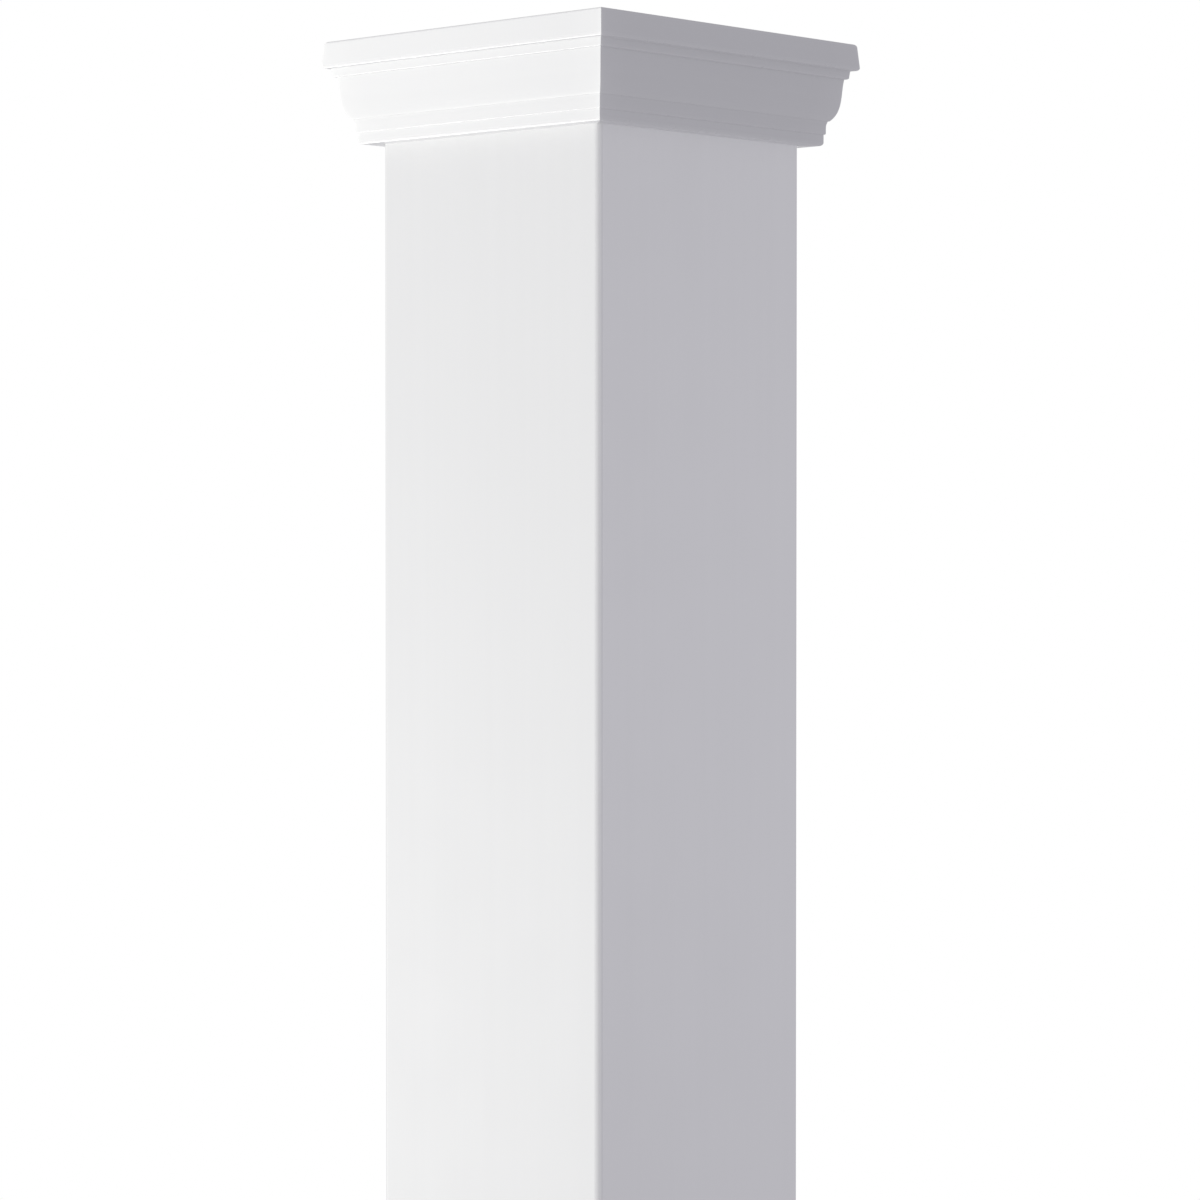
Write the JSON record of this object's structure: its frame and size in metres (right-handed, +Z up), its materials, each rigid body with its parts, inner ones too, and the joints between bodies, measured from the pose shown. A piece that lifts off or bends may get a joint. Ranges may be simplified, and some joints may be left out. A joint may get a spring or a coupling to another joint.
{
  "type": "square column",
  "caption": "Hollow square porch column of mitred cellular PVC boards, with a mitred crown moulding round its head and plain skirting boards round its foot.",
  "frame": {"origin": "middle of the underside, on the surface that the column stands on", "axes": "+Z up the column, -Y out of the front face, +X out of the right face"},
  "size_m": [0.2624, 0.2624, 2.4384],
  "materials": {
    "shaft_boards": "white cellular PVC sheet with a smooth satin skin and matte sawn ends",
    "crown_moulding": "white extruded cellular PVC moulding with a smooth satin skin",
    "skirting_boards": "white cellular PVC board with a smooth satin skin and a rounded upper edge"
  },
  "bodies": {
    "root": {"shaft_board_front": "shaft_boards", "shaft_board_right": "shaft_boards", "shaft_board_back": "shaft_boards", "shaft_board_left": "shaft_boards", "crown_moulding_front": "crown_moulding", "crown_moulding_right": "crown_moulding", "crown_moulding_back": "crown_moulding", "crown_moulding_left": "crown_moulding", "skirting_board_front": "skirting_boards", "skirting_board_right": "skirting_boards", "skirting_board_back": "skirting_boards", "skirting_board_left": "skirting_boards"}
  },
  "joints": []
}
